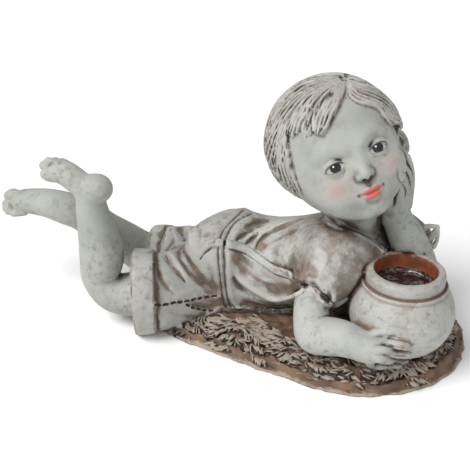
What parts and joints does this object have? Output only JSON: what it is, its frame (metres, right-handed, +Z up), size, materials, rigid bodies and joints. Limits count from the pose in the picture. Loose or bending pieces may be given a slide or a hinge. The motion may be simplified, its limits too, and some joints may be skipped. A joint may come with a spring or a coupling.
{
  "type": "child garden statue",
  "caption": "Cast garden statue of a child lying on a grassy mound, chin in hand, one arm round an open round pot.",
  "frame": {"origin": "centre of the bounding box's footprint, on the flat underside", "axes": "+X along the figure from feet to head and pot, +Y away from the side the figure is seen from, +Z up"},
  "size_m": [0.4296, 0.1794, 0.2333],
  "materials": {
    "statue": "matte cast resin and stone powder, whitewashed over brown, painted eyes, lips and cheeks, terracotta inside the pot"
  },
  "bodies": {
    "root": {"statue": "statue"}
  },
  "joints": []
}
